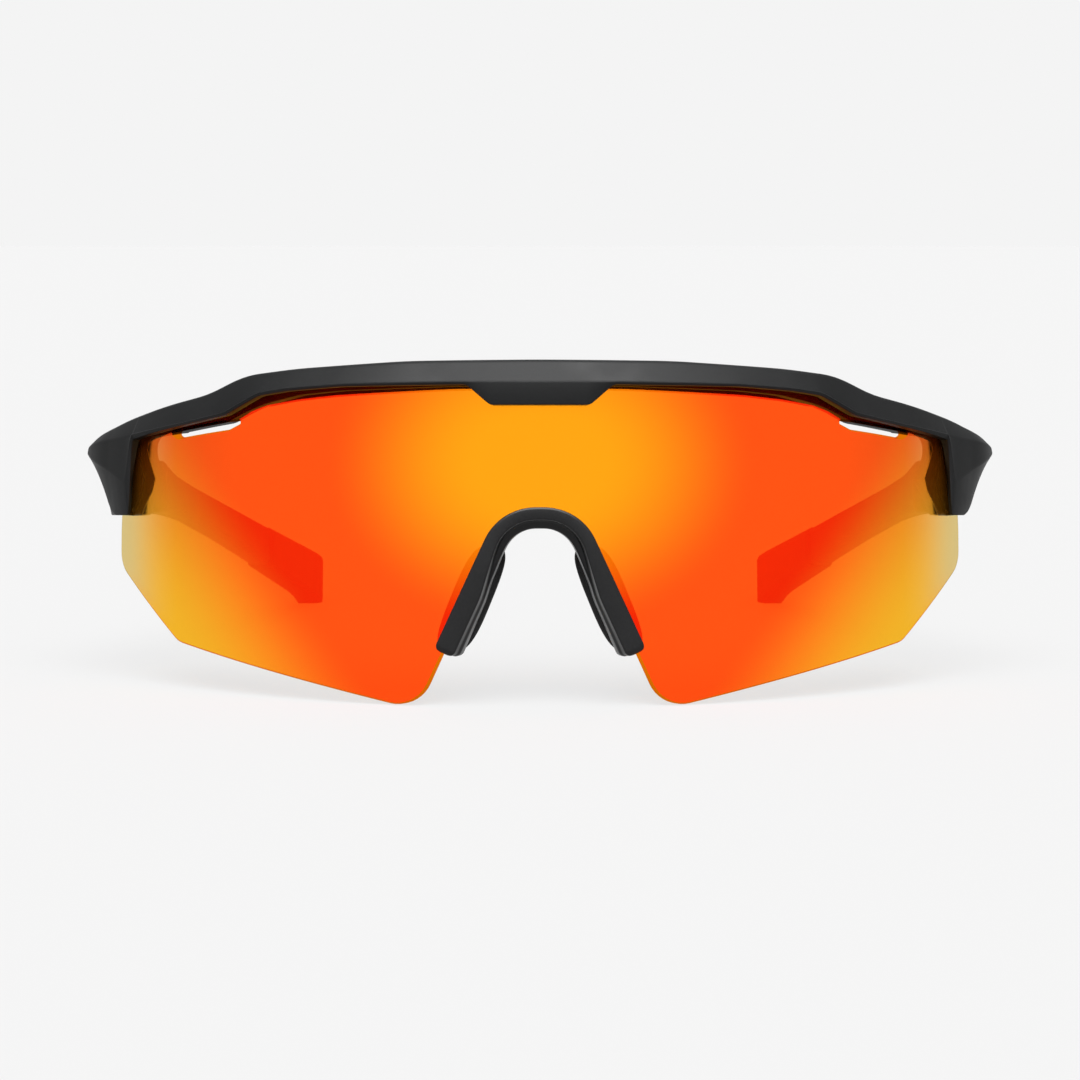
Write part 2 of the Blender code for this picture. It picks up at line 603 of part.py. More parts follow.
def build_grip(hinge, side, rubber):
    """The rubber tip: an oversized continuation of the arm, flat where it stands on the table."""
    name = "temple_grip_" + ("right" if side < 0 else "left")
    bm = bmesh.new()
    stations = [GRIP_START + GAP] + list(np.linspace(72, TEMPLE_END - 2.4, 12)) + [TEMPLE_END - 0.9, TEMPLE_END]
    rings = []
    for u in stations:
        shrink = max(0.0, u - (TEMPLE_END - 2.6)) ** 2 * 0.16
        inner = line_at(INNER_FACE, u) - HINGE_X - GRIP_SWELL + shrink * 0.5
        outer = line_at(OUTER_FACE, u) - HINGE_X + GRIP_SWELL - shrink * 0.5
        low = line_at(LOW_FACE, u) - HINGE_X + GRIP_SWELL - shrink * 0.5
        rings.append(section(u, side, inner, outer, low, line_at(GRIP_TOP, u) - shrink, line_at(GRIP_FOOT, u) + shrink,
                             0.4))
    loft(bm, rings)
    to_world = Matrix.Translation((0, 0, HINGE_Z)) @ Matrix.Rotation(-TEMPLE_DROP, 4, "X")
    table = to_world.inverted()
    cut_flat(bm, table @ Vector((0, 0, 0)), table.to_3x3() @ Vector((0, 0, -1)))
    grip = finish(bm, name, hinge, rubber)

    socket = bmesh.new()
    start, end = centre_line(GRIP_START - 2, side), centre_line(TANG_END + 0.4, side)
    ring = [(-1.3, -2.4), (1.3, -2.4), (1.3, 2.4), (-1.3, 2.4)]
    loft(socket, [[p + Vector((x, 0, h)) for x, h in ring] for p in (start, end)])
    bar_between(socket, CORE_RADIUS + RUNNING_GAP, centre_line(TANG_END - 3, side), centre_line(CORE_SPAN[1] + 0.4, side))
    combine(grip, finish(socket, "cut_" + name, hinge), "DIFFERENCE", overlapping=True)
    return grip


def build_core(hinge, side, steel):
    """The soft wire inside the tip, which lets the wearer bend it."""
    bm = bmesh.new()
    bar_between(bm, CORE_RADIUS, centre_line(CORE_SPAN[0], side), centre_line(CORE_SPAN[1], side))
    return finish(bm, "temple_core_" + ("right" if side < 0 else "left"), hinge, steel)


def build_screw(hinge, side, steel):
    """Countersunk-in-the-lug hinge screw with a driver slot."""
    name = "hinge_screw_" + ("right" if side < 0 else "left")
    bm = bmesh.new()
    head = LUG_OUTER - SCREW_HEAD_DEPTH + 0.1
    turned(bm, [(0, -LUG_OUTER + 0.9), (SCREW_RADIUS - 0.15, -LUG_OUTER + 0.9), (SCREW_RADIUS, -LUG_OUTER + 1.1),
                (SCREW_RADIUS, head), (SCREW_HEAD_RADIUS, head), (SCREW_HEAD_RADIUS, LUG_OUTER - 0.2),
                (SCREW_HEAD_RADIUS - 0.2, LUG_OUTER), (0, LUG_OUTER)])
    screw = finish(bm, name, hinge, steel)
    slot = bmesh.new()
    block(slot, (-3, -0.2, LUG_OUTER - 0.45), (3, 0.2, LUG_OUTER + 1))
    combine(screw, finish(slot, "cut_" + name, hinge), "DIFFERENCE")
    return screw


def build_sleeve(hinge, name, outer, inner, low, high, finish_of):
    bm = bmesh.new()
    turned(bm, [(inner, low), (outer, low), (outer, high), (inner, high)], closed=True)
    return finish(bm, name, hinge, finish_of)


def build_temple(hinge, side, nylon, rubber, steel, brass, acetal):
    word = "right" if side < 0 else "left"
    build_arm(hinge, side, nylon)
    build_grip(hinge, side, rubber)
    build_core(hinge, side, steel)
    build_screw(hinge, side, steel)
    hole = SCREW_RADIUS + 0.06
    build_sleeve(hinge, "hinge_bush_" + word, BUSH_RADIUS, hole, -KNUCKLE_HALF, KNUCKLE_HALF, acetal)
    build_sleeve(hinge, "hinge_insert_" + word, INSERT_RADIUS, hole, -LUG_OUTER + 0.6, -LUG_INNER, brass)


def main():
    for obj in list(bpy.data.objects):
        bpy.data.objects.remove(obj)
    nylon = material("nylon_black", (0.035, 0.036, 0.038), 0.48)
    clip_nylon = material("clip_black", (0.016, 0.016, 0.017), 0.35)
    rubber = material("rubber_black", (0.012, 0.012, 0.013), 0.75)
    mirrored = material("lens_mirror", (1.0, 0.25, 0.03), 0.05, 0.6, 0.75)
    steel = material("hinge_steel", (0.55, 0.55, 0.57), 0.3, 1.0)
    brass = material("hinge_brass", (0.72, 0.53, 0.24), 0.3, 1.0)
    acetal = material("acetal_white", (0.7, 0.7, 0.68), 0.4)

    front = place("front", (0, APEX_Y, FRONT_LIFT), -FRONT_LEAN)
    build_frame(front, nylon)
    build_lens(front, mirrored)
    build_liner(front, rubber)
    build_nose_clip(front, clip_nylon)
    for side in (-1, 1):
        build_nose_pad(front, side, rubber)
        build_nose_core(front, side, steel)
        word = "right" if side < 0 else "left"
        hinge = place("hinge_" + word, (side * HINGE_X, APEX_Y + HINGE_Y, HINGE_Z), -TEMPLE_DROP)
        build_temple(hinge, side, nylon, rubber, steel, brass, acetal)


main()
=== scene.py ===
import math

import bmesh
import bpy
import numpy as np
from mathutils import Matrix, Vector


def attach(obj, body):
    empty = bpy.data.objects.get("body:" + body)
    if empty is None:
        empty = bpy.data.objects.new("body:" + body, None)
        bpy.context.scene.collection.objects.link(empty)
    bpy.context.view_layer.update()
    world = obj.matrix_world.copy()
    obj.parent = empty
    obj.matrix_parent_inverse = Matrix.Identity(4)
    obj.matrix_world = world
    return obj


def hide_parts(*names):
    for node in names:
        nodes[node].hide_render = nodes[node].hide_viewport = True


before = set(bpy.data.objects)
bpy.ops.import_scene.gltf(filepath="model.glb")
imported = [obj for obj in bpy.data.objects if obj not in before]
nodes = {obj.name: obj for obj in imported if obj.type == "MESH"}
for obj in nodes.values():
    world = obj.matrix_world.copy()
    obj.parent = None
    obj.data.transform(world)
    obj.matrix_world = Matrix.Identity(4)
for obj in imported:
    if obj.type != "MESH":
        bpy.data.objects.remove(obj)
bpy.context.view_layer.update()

# how the front sheet wraps round the lens, in millimetres, as in the CAD
front = dict(
    radius=88.0, arc=80.0, corner=14.0, end=86.5, lean=math.radians(5), lift=0.24, apex=-76.28)
hinge = dict(
    x=67.4, y=47.5, z=31.5, drop=math.radians(14.3))

frontMatrix = (Matrix.Translation((0, front["apex"], front["lift"]))
               @ Matrix.Rotation(-front["lean"], 4, "X"))


def hingeMatrix(side):
    return (Matrix.Translation((side * hinge["x"], front["apex"] + hinge["y"], hinge["z"]))
            @ Matrix.Rotation(-hinge["drop"], 4, "X"))


def lineAt(corners, s, reach=1.0):
    # height of a bent line at s, each bend rounded over reach
    at, heights = zip(*corners)
    near = np.linspace(-reach, reach, 11) + s
    if at[0] == 0:
        near = np.abs(near)
    return float(np.mean(np.interp(near, at, heights)))


def filletCorners(corners, step=0.8, closed=True):
    out = []
    count = len(corners)
    for i, (s, v, radius) in enumerate(corners):
        here = Vector((s, v))
        if radius == 0 or (not closed and i in (0, count - 1)):
            out.append(here)
            continue
        before = (Vector(corners[i - 1][:2]) - here).normalized()
        after = (Vector(corners[(i + 1) % count][:2]) - here).normalized()
        half = before.angle(after) / 2
        centre = here + (before + after).normalized() * (radius / math.sin(half))
        start = here + before * (radius / math.tan(half))
        end = here + after * (radius / math.tan(half))
        turn = (start - centre).angle_signed(end - centre)
        steps = max(3, round(abs(turn) * max(radius, 1) / step))
        for k in range(steps + 1):
            out.append(centre + Matrix.Rotation(-turn * k / steps, 2) @ (start - centre))
    return out


def softRing(corners, radii, steps=3):
    # a cross-section whose corners are rounded, always with the same number of points
    points = [Vector(c) for c in corners]
    count = len(points)
    out = []
    for i, here in enumerate(points):
        before, after = points[i - 1] - here, points[(i + 1) % count] - here
        cut = min(radii[i], before.length * 0.48, after.length * 0.48)
        a, b = here + before.normalized() * cut, here + after.normalized() * cut
        for k in range(steps + 1):
            t = k / steps
            out.append(a.lerp(here, t).lerp(here.lerp(b, t), t))
    return out


def onFront(s, w, v):
    side = -1 if s < 0 else 1
    run, r = abs(s), front["radius"]
    edge = front["arc"] / r
    if run <= front["arc"]:
        angle = run / r
        x, y = r * math.sin(angle), r * (1 - math.cos(angle))
    else:
        angle = edge + (run - front["arc"]) / front["corner"]
        x = r * math.sin(edge) + front["corner"] * (math.sin(angle) - math.sin(edge))
        y = r * (1 - math.cos(edge)) + front["corner"] * (math.cos(edge) - math.cos(angle))
    return Vector((side * (x + w * math.sin(angle)), y - w * math.cos(angle), v))


def wrapFront(bm):
    for vert in bm.verts:
        vert.co = onFront(*vert.co)


def loftRings(bm, rings):
    loops = [[bm.verts.new(co) for co in ring] for ring in rings]
    edges = []
    for ring in loops:
        edges.append([bm.edges.new((ring[i], ring[(i + 1) % len(ring)])) for i in range(len(ring))])
    for first, second in zip(edges, edges[1:]):
        bmesh.ops.bridge_loops(bm, edges=first + second)
    bm.faces.new(loops[0])
    bm.faces.new(loops[-1])
    bmesh.ops.recalc_face_normals(bm, faces=bm.faces)


def plateFrom(bm, outline, low, high, bevel=0.0, step=2.0, grid=None, holes=()):
    # a flat plate of this outline, chamfered all round, then cut across so that it bends smoothly
    if holes:
        rim = []
        for line in [outline] + list(holes):
            verts = [bm.verts.new((s, high, v)) for s, v in line]
            rim += [bm.edges.new((verts[i - 1], verts[i])) for i in range(len(verts))]
        filled = bmesh.ops.triangle_fill(bm, edges=rim, use_beauty=True)
        top = [g for g in filled["geom"] if isinstance(g, bmesh.types.BMFace)]
    else:
        top = [bm.faces.new([bm.verts.new((s, high, v)) for s, v in outline])]
    grown = bmesh.ops.extrude_face_region(bm, geom=top)
    moved = [g for g in grown["geom"] if isinstance(g, bmesh.types.BMVert)]
    bmesh.ops.translate(bm, verts=moved, vec=(0, low - high, 0))
    bmesh.ops.recalc_face_normals(bm, faces=bm.faces)
    if bevel:
        rims = [e for e in bm.edges if len({round(f.normal.y) for f in e.link_faces}) > 1]
        bmesh.ops.bevel(bm, geom=rims, offset=bevel, affect="EDGES", segments=2, profile=0.5,
                        material=-1)
    for axis, size in ((0, step), (2, grid)):
        if not size:
            continue
        values = [v.co[axis] for v in bm.verts]
        cut = (math.floor(min(values) / size) + 1) * size + 0.013
        while cut < max(values):
            point, normal = [0, 0, 0], [0, 0, 0]
            point[axis], normal[axis] = cut, 1
            everything = bm.verts[:] + bm.edges[:] + bm.faces[:]
            bmesh.ops.bisect_plane(bm, geom=everything, plane_co=point, plane_no=normal)
            cut += size
    bmesh.ops.triangulate(bm, faces=[f for f in bm.faces if len(f.verts) > 4])


def makePiece(bm, name, matrix, body, materials, sharp=30):
    # bakes the place into the mesh, so the object itself stays at the origin
    bmesh.ops.remove_doubles(bm, verts=bm.verts, dist=1e-4)
    bmesh.ops.recalc_face_normals(bm, faces=bm.faces)
    bmesh.ops.transform(bm, verts=bm.verts, matrix=Matrix.Scale(0.001, 4) @ matrix)
    mesh = bpy.data.meshes.new(name)
    bm.to_mesh(mesh)
    bm.free()
    piece = bpy.data.objects.new(name, mesh)
    bpy.context.scene.collection.objects.link(piece)
    for material in materials:
        mesh.materials.append(material)
    mesh.shade_smooth()
    mesh.set_sharp_from_angle(angle=math.radians(sharp))
    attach(piece, body)
    return piece


def nodeGroup(name, inputs, outputs):
    group = bpy.data.node_groups.new(name, "ShaderNodeTree")
    for label, kind, value in inputs:
        socket = group.interface.new_socket(label, in_out="INPUT", socket_type=kind)
        if value is not None:
            socket.default_value = value
    for label, kind in outputs:
        group.interface.new_socket(label, in_out="OUTPUT", socket_type=kind)
    tree = group.nodes
    return group, tree, group.links, tree.new("NodeGroupInput"), tree.new("NodeGroupOutput")


def maths(tree, links, operation, a, b=None, c=None):
    node = tree.new("ShaderNodeMath")
    node.operation = operation
    for socket, value in zip(node.inputs, (a, b, c)):
        if value is None:
            continue
        if isinstance(value, (int, float)):
            socket.default_value = value
        else:
            links.new(value, socket)
    return node.outputs[0]


def ramp(tree, links, value, low, high, outLow=0.0, outHigh=1.0, smooth=True):
    node = tree.new("ShaderNodeMapRange")
    node.interpolation_type = "SMOOTHSTEP" if smooth else "LINEAR"
    for socket, number in zip(node.inputs[1:5], (low, high, outLow, outHigh)):
        socket.default_value = number
    links.new(value, node.inputs[0])
    return node.outputs[0]


def mixColour(tree, links, share, a, b):
    node = tree.new("ShaderNodeMix")
    node.data_type = "RGBA"
    for socket, value in ((node.inputs[0], share), (node.inputs[6], a), (node.inputs[7], b)):
        if isinstance(value, (tuple, list)):
            socket.default_value = (*value, 1)
        elif isinstance(value, (int, float)):
            socket.default_value = value
        else:
            links.new(value, socket)
    return node.outputs[2]


def makeGrain():
    # moulded-plastic grain: a fine spark-eroded height, with a slow drift in tone
    group, tree, links, inn, out = nodeGroup(
        "mouldedGrain",
        [("Size", "NodeSocketFloat", 0.25), ("Drift", "NodeSocketFloat", 0.1),
         ("Dark", "NodeSocketColor", None), ("Light", "NodeSocketColor", None)],
        [("Colour", "NodeSocketColor"), ("Height", "NodeSocketFloat"), ("Roughness", "NodeSocketFloat")])
    where = tree.new("ShaderNodeTexCoord").outputs["Object"]
    scale = maths(tree, links, "DIVIDE", 1000.0, inn.outputs["Size"])
    fine = tree.new("ShaderNodeTexNoise")
    fine.inputs["Detail"].default_value = 2.0
    links.new(where, fine.inputs["Vector"])
    links.new(scale, fine.inputs["Scale"])
    slow = tree.new("ShaderNodeTexNoise")
    slow.inputs["Scale"].default_value = 90.0
    slow.inputs["Detail"].default_value = 3.0
    links.new(where, slow.inputs["Vector"])
    fleck = ramp(tree, links, fine.outputs["Fac"], 0.35, 0.75)
    drift = ramp(tree, links, slow.outputs["Fac"], 0.3, 0.7)
    speck = maths(tree, links, "MULTIPLY", fleck, 0.55)
    share = maths(tree, links, "MULTIPLY_ADD", drift, inn.outputs["Drift"], speck)
    tone = mixColour(tree, links, share, inn.outputs["Dark"], inn.outputs["Light"])
    links.new(tone, out.inputs["Colour"])
    links.new(fine.outputs["Fac"], out.inputs["Height"])
    links.new(ramp(tree, links, drift, 0, 1, 0.0, 1.0, smooth=False), out.inputs["Roughness"])
    return group


grainGroup = makeGrain()


def startMaterial(name, **plain):
    material = bpy.data.materials.new(name)
    material.use_nodes = True
    tree, links = material.node_tree.nodes, material.node_tree.links
    shader = tree["Principled BSDF"]
    for label, value in plain.items():
        shader.inputs[label].default_value = value
    return material, tree, links, shader


def mouldedMaterial(name, look):
    material, tree, links, shader = startMaterial(name, **look["plain"])
    grain = tree.new("ShaderNodeGroup")
    grain.node_tree = grainGroup
    grain.inputs["Size"].default_value = look["grain"]
    grain.inputs["Drift"].default_value = look["drift"]
    grain.inputs["Dark"].default_value = (*look["dark"], 1)
    grain.inputs["Light"].default_value = (*look["light"], 1)
    links.new(grain.outputs["Colour"], shader.inputs["Base Color"])
    gloss = ramp(tree, links, grain.outputs["Roughness"], 0, 1, *look["roughness"])
    links.new(gloss, shader.inputs["Roughness"])
    bump = tree.new("ShaderNodeBump")
    bump.inputs["Strength"].default_value = look["bump"]
    bump.inputs["Distance"].default_value = look["depth"] * 0.001
    links.new(grain.outputs["Height"], bump.inputs["Height"])
    links.new(bump.outputs["Normal"], shader.inputs["Normal"])
    return material


frameNylonLook = dict(
    dark=(0.0018, 0.0019, 0.002), light=(0.0045, 0.0047, 0.005), grain=0.22, drift=0.25,
    roughness=(0.42, 0.52), bump=0.35, depth=0.03, plain={"Specular IOR Level": 0.16})
clipNylonLook = dict(
    dark=(0.003, 0.003, 0.0032), light=(0.006, 0.006, 0.0064), grain=0.3, drift=0.2,
    roughness=(0.3, 0.38), bump=0.2, depth=0.02, plain={"Specular IOR Level": 0.2})
rubberLook = dict(
    dark=(0.003, 0.003, 0.003), light=(0.007, 0.007, 0.0073), grain=0.35, drift=0.3,
    roughness=(0.62, 0.75), bump=0.3, depth=0.03,
    plain={"Specular IOR Level": 0.2, "Sheen Weight": 0.02})
acetalLook = dict(
    dark=(0.55, 0.55, 0.52), light=(0.68, 0.68, 0.65), grain=0.4, drift=0.2, roughness=(0.3, 0.4),
    bump=0.1, depth=0.01, plain={})
frameNylon = mouldedMaterial("frameNylon", frameNylonLook)
clipNylon = mouldedMaterial("clipNylon", clipNylonLook)
softRubber = mouldedMaterial("softRubber", rubberLook)
acetal = mouldedMaterial("bushAcetal", acetalLook)


def turnedMetal(name, colour, roughness):
    # fine rings left by turning, on a hinge pin or insert
    material, tree, links, shader = startMaterial(name, Metallic=1.0)
    noise = tree.new("ShaderNodeTexNoise")
    noise.inputs["Scale"].default_value = 1800.0
    where = tree.new("ShaderNodeTexCoord")
    links.new(where.outputs["Object"], noise.inputs["Vector"])
    gloss = ramp(tree, links, noise.outputs["Fac"], 0.3, 0.7, *roughness)
    links.new(gloss, shader.inputs["Roughness"])
    dim = tuple(c * 0.8 for c in colour)
    links.new(mixColour(tree, links, noise.outputs["Fac"], dim, colour), shader.inputs["Base Color"])
    return material


hingeSteel = turnedMetal("hingeSteel", (0.62, 0.62, 0.64), (0.2, 0.35))
hingeBrass = turnedMetal("hingeBrass", (0.78, 0.57, 0.27), (0.22, 0.36))
print("shared materials made")


# lens

lens = dict(
    thick=2.0, chamfer=0.22, top=51.0, notchTop=29.4,
    outer=[(42.0, 50.3, 4), (51.5, 47.3, 6), (77.8, 43.2, 1.5), (79.0, 27.0, 10), (79.1, 21.5, 4.5),
           (63.7, 9.2, 4), (19.3, -0.68, 5.5)],
    notch=[(15.2, 8.0, 20), (5.3, 29.4, 7.3)],
    vent=[(50.2, 44.5, 0.2), (54.3, 44.3, 2), (65.9, 42.95, 0.4), (63.6, 41.9, 0.5), (57.3, 42.6, 2),
          (52.4, 43.1, 1.5), (50.2, 44.0, 0.2)],
    thin=[(28.0, 80), (29.3, 80), (29.5, 72.8), (31.3, 71.7), (33.5, 69.9), (35.5, 69.2), (38.1, 70.5),
          (40.0, 71.3), (41.3, 71.0), (41.9, 69.2), (42.3, 67.2), (42.8, 65.7), (43.2, 52.0),
          (44.4, 50.9), (45.9, 47.8), (46.8, 44.9), (47.6, 39.2), (48.2, 32.2), (48.9, 14.0),
          (49.05, 0), (52.0, 0)])


def lensOutline():
    corners = [(0, lens["top"], 0)] + lens["outer"] + lens["notch"] + [(0, lens["notchTop"], 0)]
    half = filletCorners(corners, closed=False)
    return half + [Vector((-p.x, p.y)) for p in reversed(half[1:-1])]


lensTint = dict(
    red=(1.0, 0.0215, 0.0022), amber=(1.0, 0.34, 0.0022), straw=(1.0, 0.52, 0.02), cover=(0.82, 0.2),
    rimCover=0.055, gloss=(0.16, 0.75), bodyMiddle=(0.80, 0.185, 0.0012), bodyEdge=(0.45, 0.34, 0.085))

# where the tints lie on the lens, in millimetres; sheet is the width, height and foot of its UV map
lensZone = dict(
    sheet=(200.0, 100.0, 20.0), heart=37.5, squash=1.28, centre=(9.0, 35.0), tilt=0.8,
    outer=(24.0, 57.0), rim=(-0.15, 0.25), edge=(66.0, 79.8), run=80)


def makeLensZones():
    # where the mirror changes colour, and where it thins out towards the rim and the ends of the lens
    zones = [(name, "NodeSocketFloat") for name in ("Centre", "Outer", "Rim", "Edge")]
    group, tree, links, _, out = nodeGroup("lensZones", [], zones)
    sheet = tree.new("ShaderNodeUVMap")
    sheet.uv_map = "sheet"
    parts = tree.new("ShaderNodeSeparateXYZ")
    links.new(sheet.outputs["UV"], parts.inputs[0])
    width, height, foot = lensZone["sheet"]
    s = maths(tree, links, "MULTIPLY_ADD", parts.outputs["X"], width, -width / 2)
    s = maths(tree, links, "ABSOLUTE", s)
    v = maths(tree, links, "MULTIPLY_ADD", parts.outputs["Y"], height, -foot)
    tall = maths(tree, links, "SUBTRACT", v, lensZone["heart"])
    tall = maths(tree, links, "MULTIPLY", tall, lensZone["squash"])
    away = maths(tree, links, "ADD", maths(tree, links, "MULTIPLY", s, s),
                 maths(tree, links, "MULTIPLY", tall, tall))
    away = maths(tree, links, "SQRT", away)
    links.new(ramp(tree, links, away, *lensZone["centre"], 1.0, 0.0), out.inputs["Centre"])
    slant = maths(tree, links, "MULTIPLY_ADD", v, -lensZone["tilt"], s)
    links.new(ramp(tree, links, slant, *lensZone["outer"]), out.inputs["Outer"])
    # outside this contour the brow and cheeks cover the rim, and the coat is thin
    low, high = lens["thin"][0][0], lens["thin"][-1][0]
    line = tree.new("ShaderNodeFloatCurve")
    curve = line.mapping.curves[0]
    spots = [((at - low) / (high - low), run / lensZone["run"]) for at, run in lens["thin"]]
    curve.points[0].location, curve.points[1].location = spots[0], spots[-1]
    for spot in spots[1:-1]:
        curve.points.new(*spot)
    for point in curve.points:
        point.handle_type = "VECTOR"
    line.mapping.update()
    links.new(ramp(tree, links, v, low, high, smooth=False), line.inputs["Value"])
    beyond = maths(tree, links, "MULTIPLY_ADD", line.outputs["Value"], -lensZone["run"], s)
    links.new(ramp(tree, links, beyond, *lensZone["rim"]), out.inputs["Rim"])
    links.new(ramp(tree, links, s, *lensZone["edge"]), out.inputs["Edge"])
    return group


def mirrorCoat(zones):
    material, tree, links, shader = startMaterial("mirrorCoat", Metallic=1.0)
    zone = tree.new("ShaderNodeGroup")
    zone.node_tree = zones
    colour = mixColour(tree, links, zone.outputs["Centre"], lensTint["red"], lensTint["amber"])
    colour = mixColour(tree, links, zone.outputs["Outer"], colour, lensTint["straw"])
    links.new(colour, shader.inputs["Base Color"])
    edge = ramp(tree, links, zone.outputs["Edge"], 0, 1, *lensTint["cover"], smooth=False)
    rim = tree.new("ShaderNodeMix")
    links.new(zone.outputs["Rim"], rim.inputs[0])
    links.new(edge, rim.inputs[2])
    rim.inputs[3].default_value = lensTint["rimCover"]
    links.new(rim.outputs[0], shader.inputs["Alpha"])
    gloss = ramp(tree, links, zone.outputs["Rim"], 0, 1, *lensTint["gloss"], smooth=False)
    links.new(gloss, shader.inputs["Roughness"])
    return material


def lensBody(zones):
    clear = {"Transmission Weight": 1.0, "IOR": 1.0, "Roughness": 0.0}
    material, tree, links, shader = startMaterial("lensBody", **clear)
    zone = tree.new("ShaderNodeGroup")
    zone.node_tree = zones
    colour = mixColour(tree, links, zone.outputs["Edge"], lensTint["bodyMiddle"], lensTint["bodyEdge"])
    links.new(colour, shader.inputs["Base Color"])
    return material


def buildLens():
    bm = bmesh.new()
    vent = filletCorners(lens["vent"], step=0.4)
    plateFrom(bm, lensOutline(), -lens["thick"], 0, bevel=lens["chamfer"], step=2.0, grid=4.0,
              holes=[vent, [(-s, v) for s, v in vent]])
    sheet = bm.loops.layers.uv.new("sheet")
    width, height, foot = lensZone["sheet"]
    for face in bm.faces:
        outward = face.normal.y > 0.99 and face.calc_center_median().y > -0.01
        face.material_index = 0 if outward else 1
        for loop in face.loops:
            s, _, v = loop.vert.co
            loop[sheet].uv = (s / width + 0.5, (v + foot) / height)
    wrapFront(bm)
    zones = makeLensZones()
    skins = [mirrorCoat(zones), lensBody(zones)]
    piece = makePiece(bm, "mirroredLens", frontMatrix, "lens", skins, sharp=12)
    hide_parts("shield_lens")


buildLens()
print("lens made")

# brow frame: one long moulding, drawn as cross-sections (w, v) along the front
brow = dict(
    top=[(0, 53.6), (21, 53.5), (40, 52.6), (49, 51.8), (56.5, 49.0), (66, 47.4), (76, 45.3),
         (84, 43.2), (88, 42.3)],
    ridge=[(0, 49.9), (13.6, 49.95), (31, 49.8), (40.3, 49.3), (45.3, 48.7), (51.8, 45.7), (56.5, 44.9),
           (62.4, 44.0), (68.7, 43.15), (73.2, 42.55), (74.1, 34.7), (77.3, 36.2), (80.7, 37.65),
           (87, 39.9), (88, 40.1)],
    crown=[(0, 40), (60, 44.2), (62.4, 43.9), (68.7, 43.1), (73, 42.5), (77.7, 42.0), (81.3, 41.7),
           (84, 41.3), (88, 40.6)],
    lip=[(0, 46.4), (7.6, 46.4), (11.1, 49.5), (31, 49.4), (40.3, 48.85), (45.3, 48.2), (51.8, 45.25),
         (56.5, 44.5), (62.4, 43.6), (68.7, 42.6), (73.2, 41.7), (73.8, 29.55), (78.6, 29.55),
         (80.2, 30.2), (82.5, 32.2), (85, 34.6), (88, 37.0)],
    lipInner=[(0, 46.4), (7.6, 46.4), (11.1, 49.5), (31, 49.4), (40.3, 48.85), (45.3, 48.2),
              (51.8, 45.25), (56.5, 44.5), (62.4, 43.6), (68.7, 42.6), (74.6, 41.6), (75.6, 29.55),
              (88, 29.6)],
    flange=[(0, 49.6), (14, 49.45), (33, 48.95), (40.3, 48.4), (44, 47.7), (47.3, 47.0), (49.3, 46.4),
            (51.5, 45.6), (53.3, 44.9), (54.8, 44.25), (59, 43.8), (64.7, 43.15), (68.3, 42.75),
            (77.6, 42.1), (80.2, 29.7), (88, 29.7)],
    out=[(0, 2.4), (60, 2.2), (80, 2.4), (87, 3.2)],
    lipOut=[(0, 2.1), (60, 1.9), (76, 1.9), (80, 1.1), (84, 0.5), (88, -0.4)],
    back=[(0, -5.4), (60, -5.2), (88, -5.2)],
    endFoot=[(79, 29.6), (80.5, 29.65), (82, 30.1), (84, 30.8), (88, 31.2)],
    grooveFront=0.22, grooveBack=-2.22, grooveEnd=79.3, soft=0.28, crisp=0.16)


def lensTopAt(s):
    # height of the lens's upper edge, under the brow
    corners = [(at, height) for at, height, _ in lens["outer"][:3]]
    return lineAt([(0, lens["top"])] + corners + [(90, 42.0)], s, 1.5)


def browRing(s, groove):
    top, ridge = lineAt(brow["top"], s, 2.5), lineAt(brow["ridge"], s, 0.7)
    lip, lipInner = lineAt(brow["lip"], s, 0.45), lineAt(brow["lipInner"], s, 0.45)
    flange = lineAt(brow["flange"], s, 0.8)
    ridge = min(ridge, top - 1.2)
    crown = min(max(ridge + 0.1, lineAt(brow["crown"], s)), top - 0.7)
    out, lipOut, back = (lineAt(brow[k], s) for k in ("out", "lipOut", "back"))
    frontWall, backWall = brow["grooveFront"], brow["grooveBack"]
    if groove:
        roof = lensTopAt(s) + 0.25
        inside = [(backWall, flange), (backWall, roof), (frontWall, roof), (frontWall, max(lip, lipInner))]
    else:
        foot = flange = lineAt(brow["endFoot"], s)
        lipOut = min(lipOut, out - 0.6)
        spread = [lipOut + (back + 0.6 - lipOut) * k / 5 for k in range(1, 5)]
        inside = [(w, foot) for w in reversed(spread)]
    ring = inside + [(lipOut, lip), (out, ridge), (out - 0.2, crown), (out - 1.7, top - 0.3),
                     (-2.0, top), (back + 0.9, top - 0.5), (back, top - 1.5),
                     (back, flange + 0.5), (back + 0.5, flange)]
    soft, crisp = brow["soft"], brow["crisp"]
    radii = [crisp, crisp, crisp, crisp, crisp, soft, 0.3, 0.5, 1.2, 0.8, 0.8, 0.4, 0.4]
    return [onFront(s, w, v) for w, v in softRing(ring, radii)]


def browStations():
    # where the sections stand along the front: closer together at the bends
    end = brow["grooveEnd"]
    spans = [(0, 6.5, 1.3), (6.8, 12.4, 0.35), (13, 38, 1.4), (38, 58, 0.7), (58.5, 72, 1.0),
             (72.2, end - 0.2, 0.22)]
    grooved = [s for span in spans for s in np.arange(*span)] + [end]
    solid = [end + 0.02] + list(np.linspace(79.7, front["end"], 16))
    stations = [(s, True) for s in grooved] + [(s, False) for s in solid]
    return [(-s, g) for s, g in reversed(stations[1:])] + stations


cheek = dict(
    parting=[(77.7, 44.0, 0), (77.5, 40.5, 3), (76.95, 37.7, 3), (76.15, 35.35, 1.2), (77.0, 33.0, 2),
             (79.6, 29.5, 0)],
    inner=[(66.0, 42.9, 0.3), (75.2, 42.3, 2.1), (74.9, 39.2, 2.0), (72.2, 35.2, 0.9), (77.2, 29.6, 0.6)],
    gap=0.22, bevel=0.25, face=-2.3)


